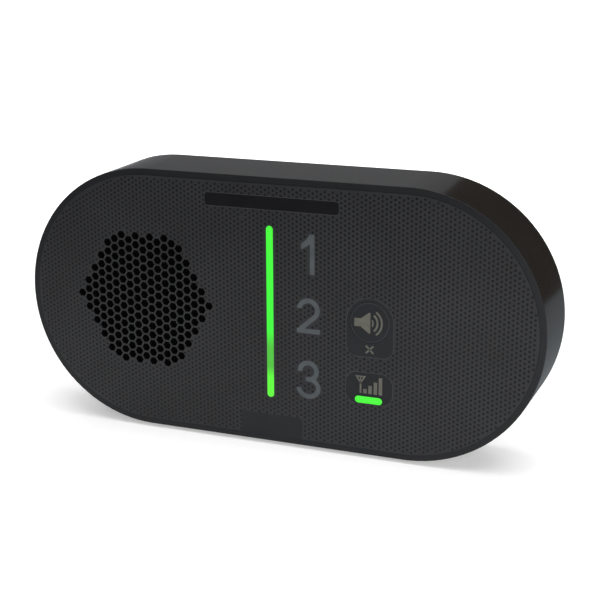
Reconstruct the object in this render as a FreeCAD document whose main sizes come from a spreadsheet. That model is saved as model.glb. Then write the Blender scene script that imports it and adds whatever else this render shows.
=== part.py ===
import FreeCAD, Part
import math
import os
import Sketcher
from FreeCAD import Placement, Rotation, Vector

# Medical alert base station: a flat, stadium-shaped desk or wall unit.
# +X is to the right seen from the front, the front faces -Y and +Z is up.
# The origin lies under the middle of the case, on the surface it stands on.
# In the sheet, x and z are measured from the middle of the case front and y from mid depth.

DIMENSIONS = [
    ("centre_height", 51.3, "case centre above the table"),
    ("half_straight", 50.5, "half the straight part of the outline"),
    ("front_radius", 49.92, "end radius of the case at its front edge"),
    ("wall_draft", 0.85, "draft of the side wall, degrees, wider at the back"),
    ("case_depth", 29.6, "front edge to back face"),
    ("edge_round", 0.3, "round on the outer front edge"),
    ("bore_radius", 47.6, "end radius inside the side wall"),
    ("inset_radius", 47.53, "end radius of the fascia and the back cover"),
    ("fascia_front", -14.95, "outer face of the fascia, just proud of the case"),
    ("fascia_back", -12.4, "inner face of the fascia"),
    ("tape_back", -12.1, "back of the bonding tape"),
    ("ledge_back", -10.1, "back of the ledge that carries the fascia"),
    ("ledge_radius", 45.4, "end radius of the opening in the ledge"),
    ("cover_front", 12.2, "inner face of the back cover"),
    ("boss_ring", 44.5, "distance of the cover bosses from the arc centres"),
    ("boss_radius", 3.4, "cover boss"),
    ("screw_core", 1.0, "cover screw thread in its boss"),
    ("screw_pass", 1.35, "clearance hole in the cover"),
    ("screw_head", 2.4, "cover screw head"),
    ("screw_head_deep", 1.6, "depth of the head below the back face"),
    ("screw_deep", 9.0, "thread depth in the boss"),
    ("small_core", 0.85, "board and speaker screw thread"),
    ("small_pass", 1.15, "clearance hole in board and speaker ears"),
    ("small_head", 1.9, "board and speaker screw head"),
    ("small_head_tall", 1.2, "board and speaker screw head height"),
    ("speaker_x", -52.05, "centre of the loudspeaker and its grille"),
    ("hole_across", 2.78, "across the flats of a grille hole"),
    ("hole_pitch", 3.46, "up the columns of the grille"),
    ("column_pitch", 2.98, "between the columns of the grille"),
    ("cloth_back", -12.15, "back of the dust cloth"),
    ("speaker_seat", -10.0, "front of the loudspeaker flange"),
    ("flange_back", -8.6, "back of the loudspeaker flange"),
    ("flange_radius", 30.8, "loudspeaker flange"),
    ("ear_ring", 33.2, "loudspeaker screws from its centre"),
    ("ear_radius", 4.0, "loudspeaker ear"),
    ("post_radius", 2.8, "screw post on the fascia"),
    ("post_thread", 3.4, "thread depth in a loudspeaker post"),
    ("standoff_thread", 5.0, "thread depth in a board standoff"),
    ("gasket_inner", 28.7, "loudspeaker gasket"),
    ("seal_gap", 0.4, "gasket and cloth inside the flange's edge"),
    ("inlay_back", -14.45, "back of the shallow inlays in the fascia"),
    ("label_left", -26.3, "label strip"),
    ("label_right", 26.0, "label strip"),
    ("label_low", 38.0, "label strip"),
    ("label_high", 43.2, "label strip"),
    ("badge_left", -12.7, "badge plate"),
    ("badge_right", 11.8, "badge plate"),
    ("badge_top", -39.2, "badge plate"),
    ("bar_x", -0.68, "upright light bar"),
    ("bar_half", 31.1, "half the distance between the ends' centres"),
    ("bar_radius", 1.32, "half the width of the light bar"),
    ("lens_lip", 0.9, "lip of a lens behind the fascia"),
    ("lip_back", -11.6, "back of the lens lips"),
    ("lap", 0.4, "how far a light box laps onto a lens lip"),
    ("box_left", -5.0, "light box round the bar and the numerals"),
    ("box_right", 22.2, "that light box"),
    ("box_half", 36.0, "half the height of that light box"),
    ("box_rim", 1.6, "wall of the signal light's own light box"),
    ("stroke", 1.75, "stroke of the numerals"),
    ("key_x", 37.6, "cancel key plate"),
    ("key_z", 0.4, "cancel key plate"),
    ("key_radius", 7.45, "cancel key"),
    ("key_play", 0.08, "clearance round the cancel key"),
    ("key_face", -15.05, "touch face of the cancel key"),
    ("key_travel", 1.0, "stroke of the cancel key"),
    ("key_round", 0.15, "bevel round the cancel key's face"),
    ("flange_wide", 1.3, "flange that holds the key behind the fascia"),
    ("flange_thick", 1.0, "that flange"),
    ("stem_radius", 3.0, "stem behind the cancel key"),
    ("dome_tall", 3.0, "dome under the cancel key"),
    ("dome_skin", 0.8, "top of the dome"),
    ("plate_radius", 8.95, "round top of the cancel plate"),
    ("plate_low", -12.6, "bottom edge of the cancel plate"),
    ("plate_corner", 4.0, "lower corners of the cancel plate"),
    ("signal_left", 28.5, "signal plate"),
    ("signal_right", 46.5, "signal plate"),
    ("signal_low", -30.5, "signal plate"),
    ("signal_high", -18.2, "signal plate"),
    ("signal_corner", 4.5, "signal plate"),
    ("led_radius", 1.3, "half the height of the signal light"),
    ("led_left", 33.55, "signal light, left end's centre"),
    ("led_right", 41.2, "signal light, right end's centre"),
    ("led_z", -28.75, "signal light"),
    ("board_front", -6.4, "front of the main board"),
    ("board_back", -4.8, "back of the main board"),
    ("board_left", -12.0, "left edge of the main board"),
    ("board_high", 38.0, "top edge of the main board"),
    ("board_round", 34.0, "right corners of the main board"),
    ("board_round_x", 50.0, "centre of those corners"),
    ("board_corner", 2.0, "left corners of the main board"),
    ("lamp_tall", 1.0, "height of the indicator lamps"),
    ("lamp_long", 1.4, "half the length of an indicator lamp"),
    ("lamp_short", 0.8, "half the width of an indicator lamp"),
    ("capacitor_radius", 3.4, "upright capacitor"),
    ("capacitor_tall", 8.0, "upright capacitor"),
    ("door_left", 3.4, "battery door"),
    ("door_right", 52.1, "battery door"),
    ("door_low", -18.2, "battery door"),
    ("hinge_z", 17.6, "hinge line of the battery door"),
    ("hinge_y", 13.8, "hinge line of the battery door"),
    ("door_thick", 2.0, "battery door"),
    ("door_gap", 0.25, "gap round the battery door"),
    ("nail_half", 7.35, "half the width of the finger notch below the door"),
    ("nail_tall", 5.0, "finger notch below the door"),
    ("nail_deep", 1.3, "finger notch below the door"),
    ("grip_half", 8.0, "half the width of the door's finger ribs"),
    ("grip_deep", 0.6, "grooves between those ribs"),
    ("grip_wide", 0.8, "one such groove"),
    ("pin_radius", 0.5, "hinge pin"),
    ("pin_bore", 0.56, "hinge bore"),
    ("pin_long", 1.2, "how far a hinge pin reaches into the cover"),
    ("bay_left", 5.0, "battery bay"),
    ("bay_right", 50.5, "battery bay"),
    ("bay_low", -16.5, "battery bay"),
    ("bay_high", 16.5, "battery bay"),
    ("bay_floor", 2.2, "floor of the battery bay"),
    ("tub_wall", 1.2, "walls of the bay and recesses"),
    ("cell_radius", 5.2, "rechargeable cell"),
    ("cell_long", 44.0, "rechargeable cell"),
    ("cap_radius", 1.9, "end contact of a cell"),
    ("cap_half", 0.5, "how far that contact stands out of the cell"),
    ("slot_low", -14.0, "slot for the battery lead"),
    ("slot_high", -10.0, "slot for the battery lead"),
    ("slot_deep", 3.0, "slot for the battery lead"),
    ("recess_left", -17.0, "plug recess"),
    ("recess_right", -1.0, "plug recess"),
    ("recess_low", -30.0, "plug recess"),
    ("recess_high", 9.0, "plug recess"),
    ("recess_floor", 6.8, "floor of the plug recess"),
    ("channel_half", 3.0, "half the width of the cable channel"),
    ("channel_floor", 9.6, "floor of the cable channel"),
    ("jack_x", -9.0, "power inlet and switch"),
    ("jack_z", -20.0, "power inlet"),
    ("jack_half", 4.5, "half the width of the power inlet"),
    ("jack_bore", 2.85, "bore of the power inlet"),
    ("jack_deep", 9.5, "depth of that bore"),
    ("jack_pin", 1.0, "centre pin of the power inlet"),
    ("switch_z", 0.0, "power switch"),
    ("slider_half", 2.0, "half the width and height of the switch slider"),
    ("slider_travel", 2.0, "stroke of the power switch"),
    ("slider_top", 9.4, "finger face of the switch slider"),
    ("slider_foot", 1.4, "inner end of the switch slider"),
    ("play", 0.1, "clearance of the switch slider"),
    ("slider_room", 0.3, "clearance of the slider in the back cover"),
    ("switch_half", 3.5, "half the width of the power switch"),
    ("switch_end", 2.5, "switch body beyond the slider's path"),
    ("groove_deep", 0.35, "finger grooves of the slider"),
    ("keyhole_x", 74.0, "wall keyholes from the middle"),
    ("keyhole_z", 16.0, "centre of the round entry"),
    ("keyhole_entry", 4.1, "round entry for a screw head"),
    ("keyhole_neck", 2.1, "half the width of the slot for the screw"),
    ("keyhole_rise", 8.0, "length of the slot above the entry"),
    ("keyhole_floor", 9.0, "bottom of the pocket for the screw head"),
    ("foot_x", 36.0, "middle of a foot"),
    ("foot_half", 14.0, "half the length of a foot"),
    ("foot_front", -7.5, "front of the feet"),
    ("foot_rear", 10.5, "rear of the feet"),
    ("foot_seat", 48.9, "depth of the foot pockets below the case centre"),
    ("mic_x", 12.0, "microphone"),
    ("mic_y", -2.0, "microphone"),
    ("mic_radius", 3.0, "microphone capsule"),
    ("mic_port", 0.8, "sound port in the case"),
    ("mic_low", -46.4, "lower face of the capsule"),
    ("mic_high", -43.7, "upper face of the capsule and its boot"),
    ("boot_wall", 1.2, "wall of the microphone's boot"),
    ("cup_wall", 1.0, "wall of the cup in the case that holds the boot"),
    ("cup_high", -44.6, "upper edge of that cup"),
    ("strip_left", 5.0, "aerial strip under the top wall"),
    ("strip_right", 40.0, "aerial strip"),
    ("strip_front", -8.0, "aerial strip"),
    ("strip_rear", 6.0, "aerial strip"),
    ("strip_thick", 1.0, "aerial strip"),
]


class Dim:
    """A length with the sheet expression that drives it."""

    def __init__(self, value, text):
        self.value = float(value)
        self.text = text

    def joined(self, sign, other, value):
        return Dim(value, "(" + self.text + " " + sign + " " + other.text + ")")

    def __add__(self, other):
        other = dim(other)
        return self.joined("+", other, self.value + other.value)

    def __sub__(self, other):
        other = dim(other)
        return self.joined("-", other, self.value - other.value)

    def __mul__(self, other):
        other = dim(other)
        return self.joined("*", other, self.value * other.value)

    def __truediv__(self, other):
        other = dim(other)
        return self.joined("/", other, self.value / other.value)

    def __radd__(self, other):
        return dim(other) + self

    def __rsub__(self, other):
        return dim(other) - self

    def __rmul__(self, other):
        return dim(other) * self

    def __neg__(self):
        return dim(0) - self


def dim(value):
    if isinstance(value, Dim):
        return value
    return Dim(value, "(" + format(float(value), ".6f") + ")")


doc = FreeCAD.newDocument("base_station")
sheet = doc.addObject("Spreadsheet::Sheet", "Sizes")


class Sizes:
    """The named dimensions of the sheet."""


d = Sizes()
for row, (alias, number, note) in enumerate(DIMENSIONS, start=1):
    sheet.set("A" + str(row), note)
    sheet.set("B" + str(row), str(number))
    sheet.setAlias("B" + str(row), alias)
    setattr(d, alias, Dim(number, "Sizes." + alias))
doc.recompute()

case_front = -d.case_depth / 2
case_back = d.case_depth / 2
BEYOND = 2        # how far a cutting shape reaches past what it cuts
parts = []


def finish(item, label):
    """Give a finished sub-part its name and list it."""
    item.Label = label
    parts.append(item)
    return item


# Sketches and bodies

def new_body(name):
    """A body in case coordinates, lifted to its height above the table."""
    body = doc.addObject("PartDesign::Body", name)
    body.setExpression("Placement.Base.z", d.centre_height.text)
    return body


def new_sketch(body, depth, role="XZ_Plane"):
    """A sketch seen from the front, on the plane y = depth, or at depth on another plane."""
    sketch = body.newObject("Sketcher::SketchObject", body.Name + "_sketch")
    plane = [item for item in body.Origin.OriginFeatures if item.Role == role][0]
    sketch.AttachmentSupport = [(plane, "")]
    sketch.MapMode = "FlatFace"
    offset = -dim(depth) if role == "XZ_Plane" else dim(depth)
    sketch.setExpression("AttachmentOffset.Base.z", offset.text)
    return sketch


def drive(sketch, index, size):
    sketch.setExpression("Constraints[" + str(index) + "]", size.text)


def place_point(sketch, geometry, point, across, up):
    for kind, size in (("DistanceX", dim(across)), ("DistanceY", dim(up))):
        index = sketch.addConstraint(
            Sketcher.Constraint(kind, -1, 1, geometry, point, size.value))
        drive(sketch, index, size)


def circle(sketch, across, up, radius):
    across, up, radius = dim(across), dim(up), dim(radius)
    shape = Part.Circle(Vector(across.value, up.value, 0), Vector(0, 0, 1), radius.value)
    index = sketch.addGeometry(shape)
    place_point(sketch, index, 3, across, up)
    drive(sketch, sketch.addConstraint(Sketcher.Constraint("Radius", index, radius.value)), radius)


def polygon(sketch, points):
    """A closed outline of straight edges, each corner placed."""
    corners = [(dim(across), dim(up)) for across, up in points]
    count = len(corners)
    first = sketch.GeometryCount
    for step in range(count):
        here = corners[step]
        after = corners[(step + 1) % count]
        sketch.addGeometry(Part.LineSegment(
            Vector(here[0].value, here[1].value, 0), Vector(after[0].value, after[1].value, 0)))
    for step in range(count):
        following = first + (step + 1) % count
        sketch.addConstraint(Sketcher.Constraint("Coincident", first + step, 2, following, 1))
        place_point(sketch, first + step, 1, *corners[step])


def rounded(sketch, corners):
    """A convex outline round circles (across, up, radius), listed anticlockwise."""
    rounds = [(dim(across), dim(up), dim(radius)) for across, up, radius in corners]
    count = len(rounds)
    centres = [Vector(across.value, up.value, 0) for across, up, radius in rounds]
    radii = [radius.value for across, up, radius in rounds]
    normals = []
    for step in range(count):
        run = centres[(step + 1) % count] - centres[step]
        lean = (radii[step] - radii[(step + 1) % count]) / run.Length
        along = run / run.Length
        right = Vector(along.y, -along.x, 0)
        normals.append(along * lean + right * math.sqrt(1 - lean * lean))
    first = sketch.GeometryCount
    for step in range(count):
        came, goes = normals[step - 1], normals[step]
        start = math.atan2(came.y, came.x)
        end = math.atan2(goes.y, goes.x)
        if end < start:
            end += 2 * math.pi
        arc = Part.ArcOfCircle(Part.Circle(centres[step], Vector(0, 0, 1), radii[step]), start, end)
        sketch.addGeometry(arc)
        after = (step + 1) % count
        sketch.addGeometry(Part.LineSegment(
            centres[step] + goes * radii[step], centres[after] + goes * radii[after]))
    for step in range(count):
        arc = first + 2 * step
        line = arc + 1
        next_arc = first + (2 * step + 2) % (2 * count)
        sketch.addConstraint(Sketcher.Constraint("Tangent", arc, 2, line, 1))
        sketch.addConstraint(Sketcher.Constraint("Tangent", line, 2, next_arc, 1))
        across, up, radius = rounds[step]
        place_point(sketch, arc, 3, across, up)
        drive(sketch, sketch.addConstraint(Sketcher.Constraint("Radius", arc, radius.value)), radius)


def stadium(radius):
    """The outline of the whole case, with ends of the given radius."""
    return [(-d.half_straight, 0, radius), (d.half_straight, 0, radius)]


def upright(across, half, radius):
    """A slot that stands upright."""
    return [(across, -half, radius), (across, half, radius)]


def box_corners(left, right, low, high, radius):
    left, right, low, high, radius = [dim(size) for size in (left, right, low, high, radius)]
    return [
        (left + radius, low + radius, radius),
        (right - radius, low + radius, radius),
        (right - radius, high - radius, radius),
        (left + radius, high - radius, radius),
    ]


def box_points(left, right, low, high):
    return [(left, low), (right, low), (right, high), (left, high)]


def pad(body, sketch, length, backwards=True, draft=None):
    """Material from the sketch towards the back, or towards the front."""
    feature = body.newObject("PartDesign::Pad", body.Name + "_pad")
    feature.Profile = sketch
    feature.Reversed = backwards
    feature.setExpression("Length", dim(length).text)
    if draft is not None:
        feature.setExpression("TaperAngle", draft.text)
    return feature


def pocket(body, sketch, length, backwards=True):
    """A cut from the sketch towards the back, or towards the front; it must remove material."""
    doc.recompute()
    before = body.Shape.Volume
    feature = body.newObject("PartDesign::Pocket", body.Name + "_pocket")
    feature.Profile = sketch
    feature.Reversed = not backwards
    feature.setExpression("Length", dim(length).text)
    doc.recompute()
    if body.Shape.Volume > before - 0.01:
        raise RuntimeError("a pocket of " + body.Name + " cuts nothing")
    return feature


def plate(name, front, back, outlines, holes=()):
    """A flat piece between two depths; outlines and holes are lists of rounded outlines."""
    body = new_body(name)
    sketch = new_sketch(body, front)
    for outline in outlines:
        rounded(sketch, outline)
    for across, up, radius in holes:
        circle(sketch, across, up, radius)
    pad(body, sketch, dim(back) - dim(front))
    return body


def turned(name, across, up, profile):
    """A piece turned about a front-to-back axis; the profile is (radius, depth)."""
    body = new_body(name)
    body.setExpression("Placement.Base.x", dim(across).text)
    body.setExpression("Placement.Base.z", (d.centre_height + up).text)
    sketch = new_sketch(body, 0, "XY_Plane")
    polygon(sketch, profile)
    feature = body.newObject("PartDesign::Revolution", name + "_turn")
    feature.Profile = sketch
    feature.ReferenceAxis = (sketch, ["V_Axis"])
    feature.Angle = 360
    return body


# Primitives in case coordinates

def put(item, across, depth, up):
    for axis, size in (("x", dim(across)), ("y", dim(depth)), ("z", d.centre_height + up)):
        item.setExpression("Placement.Base." + axis, size.text)
    return item


def block(name, left, right, front, back, low, high):
    item = doc.addObject("Part::Box", name)
    item.setExpression("Length", (dim(right) - left).text)
    item.setExpression("Width", (dim(back) - front).text)
    item.setExpression("Height", (dim(high) - low).text)
    return put(item, left, front, low)


def rod(name, across, up, radius, front, back):
    """A cylinder that runs from front to back."""
    item = doc.addObject("Part::Cylinder", name)
    item.setExpression("Radius", dim(radius).text)
    item.setExpression("Height", (dim(back) - front).text)
    item.Placement = Placement(Vector(), Rotation(Vector(1, 0, 0), -90))
    return put(item, across, front, up)


def post(name, across, depth, radius, low, high):
    """A cylinder that stands upright."""
    item = doc.addObject("Part::Cylinder", name)
    item.setExpression("Radius", dim(radius).text)
    item.setExpression("Height", (dim(high) - low).text)
    return put(item, across, depth, low)


def bar(name, left, right, radius, depth, up):
    """A cylinder that lies from left to right."""
    item = doc.addObject("Part::Cylinder", name)
    item.setExpression("Radius", dim(radius).text)
    item.setExpression("Height", (dim(right) - left).text)
    item.Placement = Placement(Vector(), Rotation(Vector(0, 1, 0), 90))
    return put(item, left, depth, up)


def fuse(name, items):
    item = doc.addObject("Part::MultiFuse", name)
    item.Shapes = items
    return item


def cut(name, base, tools):
    item = doc.addObject("Part::Cut", name)
    item.Base = base
    item.Tool = tools[0] if len(tools) == 1 else fuse(name + "_tools", tools)
    return item


def group(name, items):
    """Separate solids of one kind that share a node."""
    item = doc.addObject("Part::Compound", name)
    item.Links = items
    return item


def shaped(name, shape):
    """A sub-part whose shape is computed, lifted to its height above the table."""
    item = doc.addObject("Part::Feature", name)
    item.Shape = shape
    item.setExpression("Placement.Base.z", d.centre_height.text)
    return item


# Places that several pieces share

def boss_places():
    """The six cover screws: one on each end diagonal and one above and below the middle."""
    slant = d.boss_ring * math.sqrt(0.5)
    places = []
    for side in (-1, 1):
        for height in (-1, 1):
            places.append((side * (d.half_straight + slant), height * slant))
    places.append((dim(0), d.boss_ring))
    places.append((dim(0), -d.boss_ring))
    return places


def ear_places():
    slant = d.ear_ring * math.sqrt(0.5)
    return [(d.speaker_x + side * slant, height * slant) for side in (-1, 1) for height in (-1, 1)]


BOARD_SCREWS = [(-8.7, 34.9), (-8.7, -34.9), (52.0, 33.0), (52.0, -33.0), (79.0, 0.0)]


# Numerals, drawn as strokes of one width

def flat_face(points):
    wire = Part.makePolygon([Vector(across, 0, up) for across, up in points + points[:1]])
    return Part.Face(wire)


def bowl(across, up, radius_across, radius_up, start, end):
    """A curved stroke: part of an elliptical ring, between two angles in degrees."""
    half = d.stroke.value / 2
    edges = []
    for grow in (half, -half):
        centre = Vector(across, 0, up)
        wide = centre + Vector(radius_across + grow, 0, 0)
        tall = centre + Vector(0, 0, radius_up + grow)
        oval = Part.Ellipse(wide, tall, centre)
        edges.append(Part.ArcOfEllipse(oval, math.radians(start), math.radians(end)).toShape())
    outer, inner = edges
    corners = [outer.valueAt(outer.FirstParameter), outer.valueAt(outer.LastParameter),
               inner.valueAt(inner.LastParameter), inner.valueAt(inner.FirstParameter)]
    ends = [Part.makeLine(corners[1], corners[2]), Part.makeLine(corners[3], corners[0])]
    return Part.Face(Part.Wire(Part.__sortEdges__([outer, inner] + ends)))


def numeral_one():
    stem_left, stem_right, low, high = 14.85, 16.6, 15.8, 30.5
    flag = flat_face([(stem_left, high), (13.6, 28.7), (11.55, 26.9), (11.55, 24.9),
                      (13.4, 25.9), (stem_left, 27.0)])
    stem = flat_face(box_points(stem_left, stem_right, low, high))
    return stem.fuse(flag)


def numeral_two():
    upper = bowl(14.25, 2.6, 3.5, 3.45, -48, 172)
    slope = flat_face([(17.18, -0.58), (15.98, 0.68), (10.95, -3.75), (10.1, -4.9),
                       (9.8, -6.2), (11.9, -6.2), (12.55, -4.7)])
    foot = flat_face(box_points(9.8, 18.7, -6.2, -4.45))
    return upper.fuse([slope, foot])


def numeral_three():
    upper = bowl(14.2, -20.6, 3.2, 3.15, -90, 184)
    lower = bowl(14.3, -26.95, 3.8, 3.35, -176, 90)
    tongue = flat_face(box_points(13.2, 14.3, -24.45, -22.85))
    return upper.fuse([lower, tongue])


NUMERALS = {1: numeral_one(), 2: numeral_two(), 3: numeral_three()}
NUMERAL_LIPS = {1: (15.1, 31.8), 2: (-7.2, 7.9), 3: (-32.2, -15.6)}
NUMERAL_LEFT, NUMERAL_RIGHT = 8.6, 20.0


def numeral_block(number, front, back):
    face = NUMERALS[number].removeSplitter()
    face.translate(Vector(0, front.value, 0))
    return face.extrude(Vector(0, (back - front).value, 0))


# Case shell: the side wall with its fascia ledge and cover bosses

def make_case_shell():
    body = new_body("shell_wall")
    sketch = new_sketch(body, case_front)
    rounded(sketch, stadium(d.front_radius))
    wall = pad(body, sketch, d.case_depth, draft=d.wall_draft)
    doc.recompute()
    edge_names = []
    for number, edge in enumerate(wall.Shape.Edges, start=1):
        if edge.BoundBox.YMax < case_front.value + 0.001:
            edge_names.append("Edge" + str(number))
    soften = body.newObject("PartDesign::Fillet", "shell_edge_round")
    soften.Base = (wall, edge_names)
    soften.setExpression("Radius", d.edge_round.text)
    opening = new_sketch(body, case_front)
    rounded(opening, stadium(d.bore_radius))
    pocket(body, opening, d.case_depth)
    ledge = new_sketch(body, d.tape_back)
    rounded(ledge, stadium(d.bore_radius + 0.6))
    rounded(ledge, stadium(d.ledge_radius))
    pad(body, ledge, d.ledge_back - d.tape_back)
    bosses = new_sketch(body, d.ledge_back)
    for across, up in boss_places():
        circle(bosses, across, up, d.boss_radius)
    pad(body, bosses, d.cover_front - d.ledge_back)
    threads = new_sketch(body, d.cover_front)
    for across, up in boss_places():
        circle(threads, across, up, d.screw_core)
    pocket(body, threads, d.screw_deep, backwards=False)

    tools = []
    for side in (-1, 1):
        left = side * d.foot_x - d.foot_half
        right = side * d.foot_x + d.foot_half
        tools.append(block("foot_pocket", left, right, d.foot_front, d.foot_rear,
                           -d.front_radius - BEYOND, -d.foot_seat))
    tools.append(block("cable_notch", d.jack_x - d.channel_half, d.jack_x + d.channel_half,
                       d.channel_floor, case_back + BEYOND, -d.front_radius - BEYOND, -d.bore_radius + 1))
    tools.append(post("sound_port", d.mic_x, d.mic_y, d.mic_port, -d.front_radius - BEYOND, d.mic_low))
    boot_radius = d.mic_radius + d.boot_wall
    tools.append(post("boot_bore", d.mic_x, d.mic_y, boot_radius, -d.bore_radius, d.mic_high + BEYOND))
    cup = post("boot_cup", d.mic_x, d.mic_y, boot_radius + d.cup_wall, -d.bore_radius - 0.5, d.cup_high)
    return cut("case_shell", fuse("shell_solid", [body, cup]), tools)


# Front fascia: the face plate with its grille, windows and screw posts

def cancel_outline():
    left = d.key_x - d.plate_radius + d.plate_corner
    right = d.key_x + d.plate_radius - d.plate_corner
    low = d.plate_low + d.plate_corner
    return [(left, low, d.plate_corner), (right, low, d.plate_corner), (d.key_x, d.key_z, d.plate_radius)]


def signal_outline():
    return box_corners(d.signal_left, d.signal_right, d.signal_low, d.signal_high, d.signal_corner)


def label_outline():
    return box_corners(d.label_left, d.label_right, d.label_low, d.label_high, 1.4)


def badge_outline():
    """The badge plate's outline runs on past the lower edge of the fascia."""
    return box_corners(d.badge_left, d.badge_right, -d.inset_radius - BEYOND, d.badge_top, 1.5)


def led_outline(grow=0):
    radius = d.led_radius + grow
    return [(d.led_left, d.led_z, radius), (d.led_right, d.led_z, radius)]


def grille_holes():
    """Hexagonal holes in a honeycomb whose outline is itself a hexagon with clipped tips."""
    corner = d.hole_across.value / math.sqrt(3)
    shapes = []
    columns = 9
    tallest = 7
    for column in range(-columns, columns + 1):
        reach = min(tallest, 1.5 * (columns - abs(column)))
        shift = 0.0 if column % 2 else 0.5
        offsets = [row + shift for row in range(-tallest - 1, tallest + 1)]
        for offset in offsets:
            if abs(offset) > reach:
                continue
            across = d.speaker_x.value + column * d.column_pitch.value
            up = offset * d.hole_pitch.value
            points = []
            for turn in range(6):
                angle = math.radians(60 * turn)
                points.append((across + corner * math.cos(angle), up + corner * math.sin(angle)))
            face = flat_face(points)
            face.translate(Vector(0, (d.fascia_front - BEYOND).value, 0))
            shapes.append(face.extrude(Vector(0, (d.fascia_back - d.fascia_front + 2 * BEYOND).value, 0)))
    print("grille holes", len(shapes))
    return shaped("grille_holes", Part.makeCompound(shapes))


def make_front_fascia():
    body = new_body("fascia_plate")
    sketch = new_sketch(body, d.fascia_front)
    rounded(sketch, stadium(d.inset_radius))
    rounded(sketch, upright(d.bar_x, d.bar_half, d.bar_radius))
    rounded(sketch, led_outline())
    circle(sketch, d.key_x, d.key_z, d.key_radius + d.key_play)
    pad(body, sketch, d.fascia_back - d.fascia_front)
    inlays = new_sketch(body, d.fascia_front)
    for outline in (label_outline(), cancel_outline(), signal_outline(), badge_outline()):
        rounded(inlays, outline)
    pocket(body, inlays, d.inlay_back - d.fascia_front)
    posts = new_sketch(body, d.fascia_back)
    for across, up in ear_places():
        circle(posts, across, up, d.post_radius)
    pad(body, posts, d.speaker_seat - d.fascia_back)
    standoffs = new_sketch(body, d.fascia_back)
    for across, up in BOARD_SCREWS:
        circle(standoffs, across, up, d.post_radius)
    pad(body, standoffs, d.board_front - d.fascia_back)
    threads = new_sketch(body, d.speaker_seat)
    for across, up in ear_places():
        circle(threads, across, up, d.small_core)
    pocket(body, threads, d.post_thread, backwards=False)
    threads = new_sketch(body, d.board_front)
    for across, up in BOARD_SCREWS:
        circle(threads, across, up, d.small_core)
    pocket(body, threads, d.standoff_thread, backwards=False)
    windows = [shaped("numeral_window", numeral_block(number, d.fascia_front - 1, d.fascia_back + 1))
               for number in NUMERALS]
    return cut("front_fascia", body, [grille_holes()] + windows)


def make_badge_plate():
    """The badge plate ends flush with the lower edge of the fascia."""
    whole = plate("badge_whole", d.fascia_front, d.inlay_back, [badge_outline()])
    trim = block("badge_trim", d.badge_left - BEYOND, d.badge_right + BEYOND, d.fascia_front - BEYOND,
                 d.inlay_back + BEYOND, -d.inset_radius - 2 * BEYOND, -d.inset_radius)
    return cut("badge_plate", whole, [trim])


def make_lens(name, window, lip):
    """A light pipe that fills a window of the fascia, with a lip behind it."""
    body = new_body(name)
    sketch = new_sketch(body, d.fascia_front)
    rounded(sketch, window)
    pad(body, sketch, d.fascia_back - d.fascia_front)
    behind = new_sketch(body, d.fascia_back)
    rounded(behind, lip)
    pad(body, behind, d.lip_back - d.fascia_back)
    return body


def make_numeral_lens(number):
    low, high = NUMERAL_LIPS[number]
    glyph = shaped("numeral_glyph", numeral_block(number, d.fascia_front, d.fascia_back))
    lip = block("numeral_lip", NUMERAL_LEFT, NUMERAL_RIGHT, d.fascia_back, d.lip_back, low, high)
    return fuse("digit_lens_" + str(number), [glyph, lip])


def make_light_box():
    """The opaque frame that keeps the light of each window to itself."""
    body = new_body("light_box")
    sketch = new_sketch(body, d.lip_back)
    rounded(sketch, box_corners(d.box_left, d.box_right, -d.box_half, d.box_half, 1))
    reach = d.bar_radius + d.lens_lip - d.lap
    rounded(sketch, box_corners(d.bar_x - reach, d.bar_x + reach, -d.bar_half - reach,
                                d.bar_half + reach, 0.5))
    for low, high in NUMERAL_LIPS.values():
        rounded(sketch, box_corners(NUMERAL_LEFT + d.lap, NUMERAL_RIGHT - d.lap, low + d.lap,
                                    high - d.lap, 0.5))
    pad(body, sketch, d.board_front - d.lip_back)
    return body


def make_signal_light_box():
    reach = d.led_radius + d.lens_lip + d.box_rim
    outside = box_corners(d.led_left - reach, d.led_right + reach, d.led_z - reach, d.led_z + reach, 1)
    return plate("signal_light_box", d.lip_back, d.board_front,
                 [outside, led_outline(d.lens_lip - d.lap)])


# Cancel key

def make_cancel_key():
    """Cap, retaining flange and stem in one moulding; the flange stops it behind the fascia."""
    flange_front = d.fascia_back + 0.1
    flange_back = flange_front + d.flange_thick
    flange_edge = d.key_radius + d.flange_wide
    return turned("cancel_key", d.key_x, d.key_z, [
        (0, d.key_face), (d.key_radius - d.key_round, d.key_face), (d.key_radius, d.key_face + d.key_round),
        (d.key_radius, flange_front), (flange_edge, flange_front), (flange_edge, flange_back),
        (d.stem_radius, flange_back), (d.stem_radius, dome_top()), (0, dome_top())])


def dome_top():
    return d.board_front - d.dome_tall


def make_key_dome():
    """The silicone dome that pushes the key back."""
    floor = d.board_front
    top = dome_top()
    return turned("key_dome", d.key_x, d.key_z, [
        (0, top), (2.8, top), (4.2, floor - 0.6), (5, floor - 0.6), (5, floor),
        (3.6, floor), (2.1, top + d.dome_skin), (0, top + d.dome_skin)])


def make_key_contact():
    """The carbon pill inside the dome, a full stroke off the board."""
    return rod("key_contact", d.key_x, d.key_z, 1.5, dome_top() + d.dome_skin,
               d.board_front - d.key_travel - 0.05)


# Main board and what is soldered to it

def make_main_board():
    edge = d.board_high
    corner = d.board_corner
    outline = [
        (d.board_left + corner, -edge + corner, corner),
        (d.board_round_x, -edge + d.board_round, d.board_round),
        (d.board_round_x, edge - d.board_round, d.board_round),
        (d.board_left + corner, edge - corner, corner),
    ]
    holes = [(across, up, d.small_pass) for across, up in BOARD_SCREWS]
    return plate("main_board", d.board_front, d.board_back, [outline], holes)


def lamps(name, places, half_wide, half_tall):
    """Indicator lamps on the front of the board."""
    items = []
    for across, up in places:
        across, up = dim(across), dim(up)
        items.append(block(name + "_lamp", across - half_wide, across + half_wide,
                           d.board_front - d.lamp_tall, d.board_front, up - half_tall, up + half_tall))
    return group(name, items)


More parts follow.
